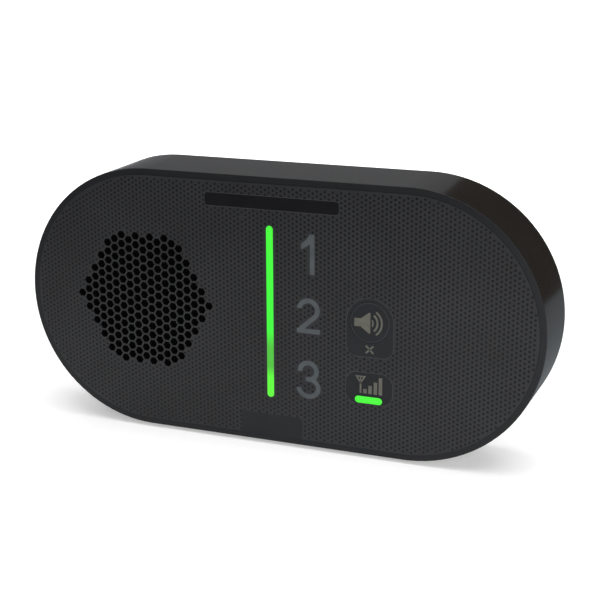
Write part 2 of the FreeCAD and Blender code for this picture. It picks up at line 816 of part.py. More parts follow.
# Components on the back of the board: left, right, low, high, and how far they stand off it
COMPONENTS = {
    "processor": (24, 36, 20, 32, 1.4),
    "cellular_module": (52, 74, -2, 22, 2.8),
    "receiver_module": (60, 70, -25, -12, 2.0),
    "sim_socket": (33, 48, -30, -20, 1.6),
    "battery_connector": (52, 58, -26, -20, 5.6),
    "speaker_connector": (-11.5, -6.5, -31, -25, 3.0),
}


def make_board_parts():
    steps = (-2.5, -1.5, -0.5, 0.5, 1.5, 2.5)
    finish(lamps("bar_leds", [(d.bar_x, 11.0 * step) for step in steps], d.lamp_long, d.lamp_short),
           "bar_leds")
    digit_places = [(across, (low + high) / 2) for low, high in NUMERAL_LIPS.values()
                    for across in (11.6, 17.0)]
    finish(lamps("digit_leds", digit_places, d.lamp_short, d.lamp_long), "digit_leds")
    signal_places = [(d.led_left + 1.5, d.led_z), (d.led_right - 1.5, d.led_z)]
    finish(lamps("signal_leds", signal_places, d.lamp_long, d.lamp_short), "signal_leds")
    for name, (left, right, low, high, tall) in COMPONENTS.items():
        finish(block(name, left, right, d.board_back, d.board_back + tall, low, high), name)
    cans = [rod("capacitor", -5.6, up, d.capacitor_radius, d.board_back, d.board_back + d.capacitor_tall)
            for up in (17.0, 25.0)]
    finish(group("capacitors", cans), "capacitors")


# Loudspeaker: the corners of each turned piece as (radius, depth)

BASKET = [(27.4, d.speaker_seat), (d.flange_radius, d.speaker_seat), (d.flange_radius, d.flange_back),
          (29.4, d.flange_back), (17.2, 1.2), (7.6, 1.2), (7.6, 0), (16.5, 0), (27.4, -8.8)]
BASKET_WINDOW_HALF = 6.5
BASKET_WINDOW_FRONT, BASKET_WINDOW_BACK = -7.4, -1.2
TURNED_PIECES = {
    "speaker_surround": [
        (24.3, -9.3), (24.6, -10.4), (25.5, -11.1), (26.6, -11.0), (27.4, -10.3), (28.5, -10.3),
        (28.5, -10.0), (27.2, -10.0), (26.4, -10.6), (25.6, -10.7), (25.0, -10.2), (24.8, -8.8),
        (24.3, -8.8)],
    "speaker_cone": [(6.95, -4.9), (24.3, -9.3), (24.3, -8.8), (6.95, -4.4)],
    "dust_cap": [
        (0, -7.2), (3.4, -6.8), (6.2, -5.9), (7.7, -5.1), (6.9, -4.95), (5.9, -5.5), (3.3, -6.4),
        (0, -6.8)],
    "voice_coil": [(6.7, -4.9), (6.93, -4.9), (6.93, 4.5), (6.7, 4.5)],
    "speaker_spider": [
        (6.95, -1.6), (13.5, -1.6), (14.6, -0.4), (16.3, -0.4), (16.3, 0), (14.2, 0), (13.1, -1.2),
        (6.95, -1.2)],
    "speaker_front_pole": [(7.4, 1.2), (15.0, 1.2), (15.0, 3.0), (7.4, 3.0)],
    "speaker_magnet": [(9.0, 3.0), (16.0, 3.0), (16.0, 7.0), (9.0, 7.0)],
    "speaker_back_pole": [(0, 1.2), (6.2, 1.2), (6.2, 7.0), (15.5, 7.0), (15.5, 8.8), (0, 8.8)],
}


def make_speaker_frame():
    seat, back = d.speaker_seat, d.flange_back
    ears = [rod("speaker_ear", across, up, d.ear_radius, seat, back) for across, up in ear_places()]
    holes = [rod("ear_hole", across, up, d.small_pass, seat - 1, back + 1) for across, up in ear_places()]
    centre, half, reach = d.speaker_x, BASKET_WINDOW_HALF, d.flange_radius + BEYOND
    front, rear = BASKET_WINDOW_FRONT, BASKET_WINDOW_BACK
    windows = [
        block("basket_window", centre - reach, centre + reach, front, rear, -half, half),
        block("basket_window", centre - half, centre + half, front, rear, -reach, reach),
    ]
    basket = turned("speaker_basket", centre, 0, BASKET)
    return cut("speaker_frame", fuse("speaker_frame_solid", [basket] + ears), holes + windows)


def make_speaker():
    seal = d.flange_radius - d.seal_gap
    finish(plate("grille_cloth", d.fascia_back, d.cloth_back, [], [(d.speaker_x, 0, seal)]), "grille_cloth")
    gasket = [(d.gasket_inner, d.cloth_back), (seal, d.cloth_back), (seal, d.speaker_seat),
              (d.gasket_inner, d.speaker_seat)]
    finish(turned("speaker_gasket", d.speaker_x, 0, gasket), "speaker_gasket")
    finish(make_speaker_frame(), "speaker_frame")
    for name, section in TURNED_PIECES.items():
        finish(turned(name, d.speaker_x, 0, section), name)


# Screws: a head and a thread drawn at the size of its hole

SOCKET_WIDE, SOCKET_FLOOR = 0.45, 0.4        # shares of the head's radius and height


def screw(name, across, up, head_radius, head_tall, seat, core, tip):
    """A screw driven from the back, whose head sits on seat; the thread runs to tip."""
    head = rod(name + "_head", across, up, head_radius, seat, seat + head_tall)
    thread = rod(name + "_thread", across, up, core, tip, seat)
    socket = rod(name + "_socket", across, up, head_radius * SOCKET_WIDE,
                 seat + head_tall * SOCKET_FLOOR, seat + head_tall + 1)
    return cut(name, fuse(name + "_solid", [head, thread]), [socket])


def make_case_screws():
    seat = case_back - d.screw_head_deep
    tip = d.cover_front - d.screw_deep + 1
    return group("case_screws", [
        screw("case_screw", across, up, d.screw_head, d.screw_head_deep - 0.3, seat, d.screw_core, tip)
        for across, up in boss_places()])


def make_board_screws():
    return group("board_screws", [
        screw("board_screw", across, up, d.small_head, d.small_head_tall, d.board_back,
              d.small_core, d.board_front - d.standoff_thread + 0.5)
        for across, up in BOARD_SCREWS])


def make_speaker_screws():
    return group("speaker_screws", [
        screw("speaker_screw", across, up, d.small_head, d.small_head_tall, d.flange_back,
              d.small_core, d.speaker_seat - d.post_thread + 0.4)
        for across, up in ear_places()])


# Back cover with battery bay, plug recess and wall keyholes

def keyhole_outline(across, radius):
    """The slot part of a keyhole, from the round entry upwards."""
    return [(across, d.keyhole_z, radius), (across, d.keyhole_z + d.keyhole_rise, radius)]


def make_back_cover():
    body = new_body("cover_plate")
    sketch = new_sketch(body, d.cover_front)
    rounded(sketch, stadium(d.inset_radius))
    pad(body, sketch, case_back - d.cover_front)
    wall = d.tub_wall

    def tub(left, right, low, high, floor):
        outer = new_sketch(body, floor - wall)
        polygon(outer, box_points(left - wall, right + wall, low - wall, high + wall))
        pad(body, outer, d.cover_front - floor + wall)

    tub(d.bay_left, d.bay_right, d.bay_low, d.bay_high, d.bay_floor)
    tub(d.recess_left, d.recess_right, d.recess_low, d.recess_high, d.recess_floor)
    tub(d.jack_x - d.channel_half, d.jack_x + d.channel_half, -d.bore_radius + 2.2,
        d.recess_low - 2, d.channel_floor)
    for side in (-1, 1):
        cap = new_sketch(body, d.keyhole_floor - wall)
        rounded(cap, keyhole_outline(side * d.keyhole_x, d.keyhole_entry + wall + 0.2))
        pad(body, cap, d.cover_front - d.keyhole_floor + wall)

    def hollow(points, floor):
        opening = new_sketch(body, case_back)
        polygon(opening, points)
        pocket(body, opening, case_back - floor, backwards=False)

    hollow(box_points(d.bay_left, d.bay_right, d.bay_low, d.bay_high), d.bay_floor)
    hollow(box_points(d.recess_left, d.recess_right, d.recess_low, d.recess_high), d.recess_floor)
    hollow(box_points(d.jack_x - d.channel_half, d.jack_x + d.channel_half,
                      -d.inset_radius - 1, d.recess_low + 1), d.channel_floor)
    gap = d.door_gap
    door_top = d.hinge_z + d.door_thick / 2
    hollow(box_points(d.door_left - gap, d.door_right + gap, d.door_low - gap, door_top + gap),
           case_back - d.door_thick - 0.05)
    middle = (d.door_left + d.door_right) / 2
    hollow(box_points(middle - d.nail_half, middle + d.nail_half, d.door_low - d.nail_tall, d.door_low),
           case_back - d.nail_deep)
    for side in (-1, 1):
        entry = new_sketch(body, case_back)
        circle(entry, side * d.keyhole_x, d.keyhole_z, d.keyhole_entry)
        pocket(body, entry, case_back - d.keyhole_floor, backwards=False)
        neck = new_sketch(body, case_back)
        rounded(neck, keyhole_outline(side * d.keyhole_x, d.keyhole_neck))
        pocket(body, neck, case_back - d.cover_front + 0.5, backwards=False)
        behind = new_sketch(body, d.cover_front)
        rounded(behind, keyhole_outline(side * d.keyhole_x, d.keyhole_entry + 0.2))
        pocket(body, behind, d.cover_front - d.keyhole_floor, backwards=False)
    holes = new_sketch(body, case_back)
    for across, up in boss_places():
        circle(holes, across, up, d.screw_pass)
    pocket(body, holes, case_back - d.cover_front, backwards=False)
    heads = new_sketch(body, case_back)
    for across, up in boss_places():
        circle(heads, across, up, d.screw_head + 0.15)
    pocket(body, heads, d.screw_head_deep, backwards=False)

    room = d.slider_half + d.slider_room
    tools = [
        block("inlet_hole", d.jack_x - d.jack_half, d.jack_x + d.jack_half, d.recess_floor - 3,
              d.recess_floor + 1, d.jack_z - d.jack_half, d.jack_z + d.jack_half),
        block("slider_hole", d.jack_x - room, d.jack_x + room, d.recess_floor - 3, d.recess_floor + 1,
              d.switch_z - room, d.switch_z + d.slider_travel + room),
        bar("hinge_bore", d.door_left - gap - d.pin_long - 0.1, d.door_right + gap + d.pin_long + 0.1,
            d.pin_bore, d.hinge_y, d.hinge_z),
        block("lead_slot", d.bay_right - 1, d.bay_right + wall + 1, d.bay_floor,
              d.bay_floor + d.slot_deep, d.slot_low, d.slot_high),
    ]
    return cut("back_cover", body, tools)


def make_battery_door():
    """A flat door whose hinged edge is a full round about the pins."""
    front = case_back - d.door_thick
    leaf = block("door_leaf", d.door_left, d.door_right, front, case_back, d.door_low, d.hinge_z)
    roll = bar("door_roll", d.door_left, d.door_right, d.door_thick / 2, d.hinge_y, d.hinge_z)
    pins = bar("door_pins", d.door_left - d.door_gap - d.pin_long,
               d.door_right + d.door_gap + d.pin_long, d.pin_radius, d.hinge_y, d.hinge_z)
    middle = (d.door_left + d.door_right) / 2
    grips = []
    for step in range(4):
        low = d.door_low + 3 + 2 * step * d.grip_wide
        grips.append(block("door_grip", middle - d.grip_half, middle + d.grip_half,
                           case_back - d.grip_deep, case_back + 1, low, low + d.grip_wide))
    return cut("battery_door", fuse("door_solid", [leaf, roll, pins]), grips)


def make_battery_cells():
    cells = []
    middle = (d.bay_left + d.bay_right) / 2
    depth = d.bay_floor + d.cell_radius + 0.1
    for row in (-1, 0, 1):
        up = row * (2 * d.cell_radius + 0.1)
        side = 1 if row % 2 else -1
        can = bar("cell_can", middle - d.cell_long / 2, middle + d.cell_long / 2,
                  d.cell_radius, depth, up)
        end = middle + side * d.cell_long / 2
        cap = bar("cell_cap", end - d.cap_half, end + d.cap_half, d.cap_radius, depth, up)
        cells.append(fuse("cell", [can, cap]))
    return group("battery_cells", cells)


# Power inlet and switch

def make_dc_jack():
    half = d.jack_half
    body = block("jack_body", d.jack_x - half, d.jack_x + half, d.board_back, d.recess_floor,
                 d.jack_z - half, d.jack_z + half)
    bore = rod("jack_bore_tool", d.jack_x, d.jack_z, d.jack_bore, d.recess_floor - d.jack_deep,
               d.recess_floor + 1)
    return cut("dc_jack", body, [bore])


def make_dc_jack_pin():
    return rod("dc_jack_pin", d.jack_x, d.jack_z, d.jack_pin, d.recess_floor - d.jack_deep,
               d.recess_floor - 1)


def make_power_switch():
    wide = d.slider_half + d.play
    low = d.switch_z - d.slider_half - d.play
    high = d.switch_z + d.slider_half + d.slider_travel + d.play
    top = d.recess_floor - d.tub_wall
    body = block("switch_body", d.jack_x - d.switch_half, d.jack_x + d.switch_half, d.board_back, top,
                 low - d.switch_end, high + d.switch_end)
    slot = block("switch_slot", d.jack_x - wide, d.jack_x + wide, d.slider_foot - d.play, top + 1, low, high)
    return cut("power_switch", body, [slot])


def make_switch_slider():
    half = d.slider_half
    knob = block("slider_knob", d.jack_x - half, d.jack_x + half, d.slider_foot, d.slider_top,
                 d.switch_z - half, d.switch_z + half)
    grooves = []
    for step in (-1, 0, 1):
        middle = d.switch_z + 1.3 * step
        grooves.append(block("slider_groove", d.jack_x - half - 1, d.jack_x + half + 1,
                             d.slider_top - d.groove_deep, d.slider_top + 1, middle - 0.2, middle + 0.2))
    return cut("switch_slider", knob, grooves)


# Microphone in its rubber boot, against the bottom wall

def make_microphone():
    return post("microphone", d.mic_x, d.mic_y, d.mic_radius, d.mic_low, d.mic_high)


def make_microphone_boot():
    outer = post("boot_outer", d.mic_x, d.mic_y, d.mic_radius + d.boot_wall, -d.bore_radius, d.mic_high)
    inner = post("boot_inner", d.mic_x, d.mic_y, d.mic_radius, d.mic_low, d.mic_high + 1)
    hole = post("boot_port", d.mic_x, d.mic_y, d.mic_port, -d.bore_radius - 1, d.mic_low + 1)
    return cut("microphone_boot", outer, [inner, hole])


# Leads: straight runs joined by tangent arcs

def lead(name, points, radius):
    route = [Vector(*point) for point in points]
    edges = []
    start = route[0]
    for step in range(1, len(route) - 1):
        came = route[step] - route[step - 1]
        goes = route[step + 1] - route[step]
        turn = came.getAngle(goes)
        reach = 0.45 * min(came.Length, goes.Length)
        bend = reach / math.tan(turn / 2)
        came.normalize()
        goes.normalize()
        entry = route[step] - came * reach
        leave = route[step] + goes * reach
        inward = goes - came
        inward.normalize()
        middle = route[step] + inward * (bend / math.cos(turn / 2) - bend)
        edges.append(Part.LineSegment(start, entry).toShape())
        edges.append(Part.Arc(entry, middle, leave).toShape())
        start = leave
    edges.append(Part.LineSegment(start, route[-1]).toShape())
    path = Part.Wire(edges)
    ring_wire = Part.Wire(Part.Circle(route[0], route[1] - route[0], radius).toShape())
    tube = path.makePipeShell([ring_wire], True, False)
    expected = math.pi * radius ** 2 * path.Length
    if abs(tube.Volume - expected) > 0.02 * expected:
        raise RuntimeError(name + " is not a clean tube")
    return shaped(name, tube)


# The leads inside the case: radius, then the points of the route as (x, y, z)
LEADS = {
    "speaker_lead": (0.9, [(-38.65, 2.15, -8.8), (-30.5, 2.0, -14.0), (-24.0, -1.0, -22.0),
                           (-17.5, -3.3, -28.0), (-11.5, -3.3, -28.0)]),
    "battery_lead": (0.9, [(50.0, 3.7, -12.0), (54.6, 3.7, -12.0), (55.0, -0.2, -15.0),
                           (55.0, -0.2, -20.0)]),
    "antenna_lead": (0.6, [(36.0, -2.0, 45.95), (43.0, -2.0, 45.95), (53.0, -2.5, 39.5),
                           (60.5, -3.3, 30.5), (60.5, -3.3, 22.0)]),
    "receiver_antenna": (0.45, [(70.0, -4.2, -22.0), (76.5, -4.2, -22.0), (80.5, -2.0, -14.0),
                                (82.5, -1.0, -6.0), (82.5, 0.0, 6.0), (79.5, 1.0, 14.0),
                                (74.0, 1.0, 20.0)]),
}


# Assembly

finish(make_case_shell(), "case_shell")
finish(make_front_fascia(), "front_fascia")
finish(plate("fascia_tape", d.fascia_back, d.tape_back,
             [stadium(d.inset_radius - 0.2), stadium(d.ledge_radius + 0.1)]), "fascia_tape")
finish(plate("label_plate", d.fascia_front, d.inlay_back, [label_outline()]), "label_plate")
finish(make_badge_plate(), "badge_plate")
finish(make_lens("light_bar_lens", upright(d.bar_x, d.bar_half, d.bar_radius),
                 upright(d.bar_x, d.bar_half, d.bar_radius + d.lens_lip)), "light_bar_lens")
for number in NUMERALS:
    finish(make_numeral_lens(number), "digit_lens_" + str(number))
finish(make_light_box(), "light_box")
finish(plate("cancel_plate", d.fascia_front, d.inlay_back, [cancel_outline()],
             [(d.key_x, d.key_z, d.key_radius + d.key_play)]), "cancel_plate")
finish(make_cancel_key(), "cancel_key")
finish(make_key_dome(), "key_dome")
finish(make_key_contact(), "key_contact")
finish(plate("signal_plate", d.fascia_front, d.inlay_back, [signal_outline(), led_outline()]),
       "signal_plate")
finish(make_lens("signal_lens", led_outline(), led_outline(d.lens_lip)), "signal_lens")
finish(make_signal_light_box(), "signal_light_box")

finish(make_main_board(), "main_board")
make_board_parts()

make_speaker()
finish(make_speaker_screws(), "speaker_screws")
finish(make_board_screws(), "board_screws")
finish(make_dc_jack(), "dc_jack")
finish(make_dc_jack_pin(), "dc_jack_pin")
finish(make_power_switch(), "power_switch")
finish(make_switch_slider(), "switch_slider")
finish(make_microphone(), "microphone")
finish(make_microphone_boot(), "microphone_boot")
finish(block("cellular_antenna", d.strip_left, d.strip_right, d.strip_front, d.strip_rear,
             d.bore_radius - d.strip_thick, d.bore_radius), "cellular_antenna")
for name, (radius, route) in LEADS.items():
    finish(lead(name, route, radius), name)

finish(make_back_cover(), "back_cover")
finish(make_battery_cells(), "battery_cells")
finish(make_battery_door(), "battery_door")
finish(make_case_screws(), "case_screws")
finish(group("rubber_feet", [
    block("foot", side * d.foot_x - d.foot_half, side * d.foot_x + d.foot_half,
          d.foot_front, d.foot_rear, -d.centre_height, -d.foot_seat) for side in (-1, 1)]), "rubber_feet")

# Check everything, then write each sub-part

doc.recompute()
for item in doc.Objects:
    if "Invalid" in item.State or "Error" in item.State:
        raise RuntimeError("failed object: " + item.Name)
os.makedirs("parts", exist_ok=True)
for item in parts:
    if item.Shape.isNull() or not item.Shape.isValid():
        raise RuntimeError("bad shape: " + item.Label)
    item.Shape.exportStep("parts/" + item.Label + ".step")
    box = item.Shape.BoundBox
    print(item.Label, len(item.Shape.Solids), "solids", round(item.Shape.Volume, 1), "mm3",
          [round(value, 2) for value in (box.XMin, box.XMax, box.YMin, box.YMax, box.ZMin, box.ZMax)])
print(len(parts), "nodes")
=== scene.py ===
import math
from collections import Counter

import bmesh
import bpy
from mathutils import Matrix, Vector
from mathutils.bvhtree import BVHTree
from mathutils.geometry import delaunay_2d_cdt
from mathutils.kdtree import KDTree


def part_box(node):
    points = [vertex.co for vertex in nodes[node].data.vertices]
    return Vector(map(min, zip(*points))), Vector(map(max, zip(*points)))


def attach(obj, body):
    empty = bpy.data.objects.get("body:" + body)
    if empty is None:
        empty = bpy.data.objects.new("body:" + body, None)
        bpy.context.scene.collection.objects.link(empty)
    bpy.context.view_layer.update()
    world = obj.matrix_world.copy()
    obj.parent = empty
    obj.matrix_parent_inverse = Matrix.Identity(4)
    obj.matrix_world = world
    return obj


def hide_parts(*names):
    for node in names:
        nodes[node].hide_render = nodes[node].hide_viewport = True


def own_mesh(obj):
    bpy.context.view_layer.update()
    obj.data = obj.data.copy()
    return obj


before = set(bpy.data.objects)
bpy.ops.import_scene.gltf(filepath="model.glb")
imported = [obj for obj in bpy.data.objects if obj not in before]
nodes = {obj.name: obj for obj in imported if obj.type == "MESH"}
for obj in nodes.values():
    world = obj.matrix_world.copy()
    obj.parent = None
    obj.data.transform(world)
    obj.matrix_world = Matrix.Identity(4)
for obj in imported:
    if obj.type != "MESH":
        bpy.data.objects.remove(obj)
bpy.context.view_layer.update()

scene = bpy.context.scene

MM = 0.001
WELD = 0.001 * MM       # corners nearer than this are one corner
FLAT = 0.01 * MM        # a face this near to a plane lies in it
FACING = -0.99          # a face whose normal has less y than this looks to the front

# The frame's own measures, in metres
fascia_low, fascia_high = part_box("front_fascia")
CENTRE_Z = (fascia_low.z + fascia_high.z) / 2
FACE_Y = fascia_low.y
key_low, key_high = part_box("cancel_key")
KEY_X = (key_low.x + key_high.x) / 2
KEY_Z = (key_low.z + key_high.z) / 2
KEY_Y = key_low.y


def at(across, up, depth=0.0):
    """A point on the face, in millimetres from the middle of the case, depth behind the face."""
    return Vector((across * MM, FACE_Y + depth * MM, CENTRE_Z + up * MM))


# Camera

CAMERA_AZIMUTH = math.radians(21.57)
CAMERA_ELEVATION = math.radians(15.98)
CAMERA_ROLL = math.radians(-0.16)
CAMERA_DISTANCE = 0.4758
CAMERA_TARGET = (11.04, 6.08)   # on the face, in millimetres from its middle
FOCAL_PIXELS = 1324.0
FRAME_PIXELS = 600.0


def make_camera():
    back = Vector((
        math.sin(CAMERA_AZIMUTH) * math.cos(CAMERA_ELEVATION),
        -math.cos(CAMERA_AZIMUTH) * math.cos(CAMERA_ELEVATION),
        math.sin(CAMERA_ELEVATION)))
    level = Vector((math.cos(CAMERA_AZIMUTH), math.sin(CAMERA_AZIMUTH), 0))
    upright = back.cross(level)
    right = level * math.cos(CAMERA_ROLL) + upright * math.sin(CAMERA_ROLL)
    above = upright * math.cos(CAMERA_ROLL) - level * math.sin(CAMERA_ROLL)
    data = bpy.data.cameras.new("camera")
    data.sensor_width = 36.0
    data.lens = data.sensor_width * FOCAL_PIXELS / FRAME_PIXELS
    data.clip_start = 0.01
    data.clip_end = 20.0
    camera = bpy.data.objects.new("camera", data)
    scene.collection.objects.link(camera)
    place = Matrix((right, above, back)).transposed().to_4x4()
    place.translation = at(*CAMERA_TARGET) + back * CAMERA_DISTANCE
    camera.matrix_world = place
    scene.camera = camera


make_camera()


# Materials

class Nodes:
    """Short calls for building one node tree."""

    def __init__(self, name):
        self.material = bpy.data.materials.new(name)
        self.material.use_nodes = True
        self.tree = self.material.node_tree
        self.shader = self.tree.nodes["Principled BSDF"]
        self.place = self.add("ShaderNodeTexCoord").outputs["Object"]

    def add(self, kind, **settings):
        node = self.tree.nodes.new(kind)
        for key, value in settings.items():
            setattr(node, key, value)
        return node

    def link(self, source, target):
        self.tree.links.new(source, target)

    def fill(self, socket, value):
        if isinstance(value, bpy.types.NodeSocket):
            self.link(value, socket)
        else:
            socket.default_value = value

    def math(self, operation, first, second):
        node = self.add("ShaderNodeMath", operation=operation)
        self.fill(node.inputs[0], first)
        self.fill(node.inputs[1], second)
        return node.outputs[0]

    def along(self, axis):
        """The place along one axis, in metres."""
        node = self.add("ShaderNodeSeparateXYZ")
        self.link(self.place, node.inputs[0])
        return node.outputs[axis]

    def noise(self, scale, detail=3.0):
        node = self.add("ShaderNodeTexNoise")
        node.inputs["Scale"].default_value = scale
        node.inputs["Detail"].default_value = detail
        node.inputs["Roughness"].default_value = 0.55
        self.link(self.place, node.inputs["Vector"])
        return node.outputs["Fac"]

    def spread(self, value, low, high, start=0.3, end=0.7):
        """The value's range start to end becomes low to high."""
        node = self.add("ShaderNodeMapRange")
        self.fill(node.inputs["Value"], value)
        limits = {"From Min": start, "From Max": end, "To Min": low, "To Max": high}
        for key, number in limits.items():
            node.inputs[key].default_value = number
        return node.outputs["Result"]

    def mix(self, share, first, second):
        node = self.add("ShaderNodeMix", data_type="RGBA")
        self.fill(node.inputs["Factor"], share)
        self.fill(node.inputs["A"], first)
        self.fill(node.inputs["B"], second)
        return node.outputs["Result"]

    def surface(self, colour, rough, specular, height, depth):
        """Sets the shader's main inputs; height is the relief, and depth how deep it goes."""
        self.fill(self.shader.inputs["Base Color"], colour)
        self.fill(self.shader.inputs["Roughness"], rough)
        self.shader.inputs["Specular IOR Level"].default_value = specular
        relief = self.add("ShaderNodeBump")
        relief.inputs["Strength"].default_value = 1.0
        relief.inputs["Distance"].default_value = depth
        self.link(height, relief.inputs["Height"])
        self.link(relief.outputs["Normal"], self.shader.inputs["Normal"])


def shade(colour, factor):
    return (colour[0] * factor, colour[1] * factor, colour[2] * factor, 1.0)


def plastic(name, colour, rough, grain=2500.0, depth=0.006, cloud=60.0, vary=0.12,
            specular=0.5, metal=0.0):
    """Moulded plastic, rubber or metal: a fine grain, slow clouds of colour and of gloss.

    rough is the range of the roughness, grain and cloud are scales of noise, depth is the
    grain's depth in millimetres, and vary is how far the clouds lighten or darken the colour.
    """
    made = Nodes(name)
    clouds = made.spread(made.noise(cloud), 0.0, 1.0)
    tone = made.mix(clouds, shade(colour, 1 - vary), shade(colour, 1 + vary))
    gloss = made.spread(made.noise(cloud * 2.7), *rough)
    made.surface(tone, gloss, specular, made.noise(grain, 2.0), depth * MM)
    made.shader.inputs["Metallic"].default_value = metal
    return made.material


WAVE_SCALE = 0.314      # a wave texture of this scale has one band in a metre


def woven(name, colour, thread):
    """Cloth of crossed threads; thread is the pitch in metres."""
    made = Nodes(name)
    waves = []
    for direction in ("X", "Z"):
        wave = made.add("ShaderNodeTexWave", wave_type="BANDS", bands_direction=direction)
        wave.inputs["Scale"].default_value = WAVE_SCALE / thread
        made.link(made.place, wave.inputs["Vector"])
        waves.append(wave.outputs["Fac"])
    weave = made.math("MULTIPLY", waves[0], waves[1])
    tone = made.mix(weave, shade(colour, 0.5), shade(colour, 1.5))
    made.surface(tone, 0.9, 0.1, weave, 0.05 * MM)
    return made.material


def sheen_graded(name, low_colour, high_colour, reach, far):
    """The dimples' tone, darker than the face, with a painted sheen: paler low down and towards the
    right.

    The painted sheen fades upwards, from reach below the centre line to reach above it, and grows
    again from far[0] to far[1] to the right of the middle.
    """
    made = Nodes(name)
    # painted sheen: the tone is paler low down and, from far[0] on, towards the right
    upwards = made.spread(made.along("Z"), 0.0, 1.0, CENTRE_Z - reach, CENTRE_Z + reach)
    rightwards = made.spread(made.along("X"), 0.0, -0.5, *far)
    patchy = made.math("ADD", upwards, made.spread(made.noise(45.0), -0.15, 0.15))
    share = made.math("ADD", patchy, rightwards)
    tone = made.mix(share, shade(low_colour, 1), shade(high_colour, 1))
    gloss = made.spread(made.noise(160.0), 0.62, 0.72)
    made.surface(tone, gloss, 0.19, made.noise(2500.0, 2.0), 0.006 * MM)
    return made.material


def glow(name, stops):
    """A lit diffusing lens; stops are (height in millimetres, colour), from low to high."""
    made = Nodes(name)
    unlit = made.mix(made.noise(90.0), (0.012, 0.16, 0.012, 1), (0.018, 0.2, 0.018, 1))
    made.surface(unlit, 0.4, 0.2, made.noise(1800.0), 0.004 * MM)
    low, high = stops[0][0], stops[-1][0]
    ramp = made.add("ShaderNodeValToRGB")
    made.link(made.spread(made.along("Z"), 0.0, 1.0, CENTRE_Z + low * MM, CENTRE_Z + high * MM),
              ramp.inputs["Fac"])
    elements = ramp.color_ramp.elements
    for stop, (up, colour) in enumerate(stops):
        share = (up - low) / (high - low)
        if stop < 2:    # a new ramp has two stops already
            elements[stop].position = share
        else:
            elements.new(share)
        elements[stop].color = (*colour, 1.0)
    made.link(ramp.outputs["Color"], made.shader.inputs["Emission Color"])
    made.link(made.spread(made.noise(55.0), 0.93, 1.0), made.shader.inputs["Emission Strength"])
    return made.material


GREEN = (0.06, 0.85, 0.035)
PALE_GREEN = (0.115, 0.85, 0.035)
MID_GREEN = (0.042, 0.85, 0.035)
DIM_GREEN = (0.07, 0.37, 0.036)
BAR_STOPS = [(-34, PALE_GREEN), (-25, PALE_GREEN), (-20.5, DIM_GREEN), (-13, DIM_GREEN),
             (-6.5, MID_GREEN), (12, MID_GREEN), (34, GREEN)]
LAMP_STOPS = [(-34, GREEN), (34, GREEN)]

# The thin finish of the printed and inlaid pieces
FINE = {"grain": 5200.0, "depth": 0.002}
INK_FINE = {"grain": 6000.0, "depth": 0.002, "cloud": 600.0, "specular": 0.25}

cover_paint = plastic("cover_paint", (0.026, 0.026, 0.027), (0.55, 0.6), grain=1400.0, depth=0.02,
                      vary=0.06, specular=0.35)
inlay_paint = plastic("inlay_paint", (0.0092, 0.0104, 0.0124), (0.36, 0.44), cloud=120.0,
                      specular=0.18, **FINE)
badge_paint = plastic("badge_paint", (0.0098, 0.011, 0.0123), (0.4, 0.48), cloud=120.0,
                      specular=0.2, **FINE)
label_paint = plastic("label_paint", (0.0058, 0.0058, 0.0068), (0.4, 0.48), cloud=150.0,
                      specular=0.1, **FINE)
key_paint = plastic("key_paint", (0.009, 0.0103, 0.0124), (0.36, 0.44), cloud=140.0,
                    specular=0.18, **FINE)
digit_paint = plastic("digit_paint", (0.06, 0.069, 0.074), (0.38, 0.45), grain=4200.0, depth=0.002,
                      cloud=260.0, specular=0.25)
symbol_ink = plastic("symbol_ink", (0.1, 0.098, 0.082), (0.5, 0.6), **INK_FINE)
# painted highlight: lighter lines along the key's and the plates' edges
highlight_ink = plastic("highlight_ink", (0.032, 0.034, 0.036), (0.45, 0.55), **INK_FINE)
white_paint = plastic("white_paint", (0.75, 0.75, 0.73), (0.4, 0.5))
board_paint = plastic("board_paint", (0.015, 0.13, 0.05), (0.3, 0.4), grain=900.0, depth=0.02)
chip_paint = plastic("chip_paint", (0.025, 0.025, 0.026), (0.4, 0.5), grain=2600.0, depth=0.01)
shield_metal = plastic("shield_metal", (0.55, 0.55, 0.55), (0.3, 0.45), grain=700.0, metal=1.0)
screw_metal = plastic("screw_metal", (0.32, 0.32, 0.34), (0.28, 0.4), grain=1600.0, metal=1.0)
brass_metal = plastic("brass_metal", (0.72, 0.5, 0.22), (0.25, 0.35), grain=1600.0, metal=1.0)
steel_paint = plastic("steel_paint", (0.08, 0.08, 0.08), (0.4, 0.55), metal=0.3)
ferrite_dark = plastic("ferrite_dark", (0.05, 0.05, 0.052), (0.55, 0.7), depth=0.02)
lamp_resin = plastic("lamp_resin", (0.8, 0.8, 0.6), (0.15, 0.25))
silicone = plastic("silicone", (0.7, 0.7, 0.66), (0.45, 0.55))
rubber = plastic("rubber", (0.02, 0.02, 0.02), (0.75, 0.88), grain=1500.0, depth=0.03,
                 specular=0.25)
foam = plastic("foam", (0.03, 0.03, 0.03), (0.9, 0.95), grain=900.0, depth=0.1, specular=0.1)
paper = plastic("paper", (0.025, 0.025, 0.026), (0.8, 0.9), grain=420.0, depth=0.08,
                specular=0.15)
amber_film = plastic("amber_film", (0.45, 0.22, 0.04), (0.25, 0.35))
cell_sleeve = plastic("cell_sleeve", (0.05, 0.26, 0.1), (0.25, 0.35), grain=400.0, depth=0.01)
slider_paint = plastic("slider_paint", (0.42, 0.42, 0.43), (0.42, 0.52))
black_cloth = woven("black_cloth", (0.003, 0.003, 0.003), 0.4 * MM)
bar_glow = glow("bar_glow", BAR_STOPS)
lamp_glow = glow("lamp_glow", LAMP_STOPS)


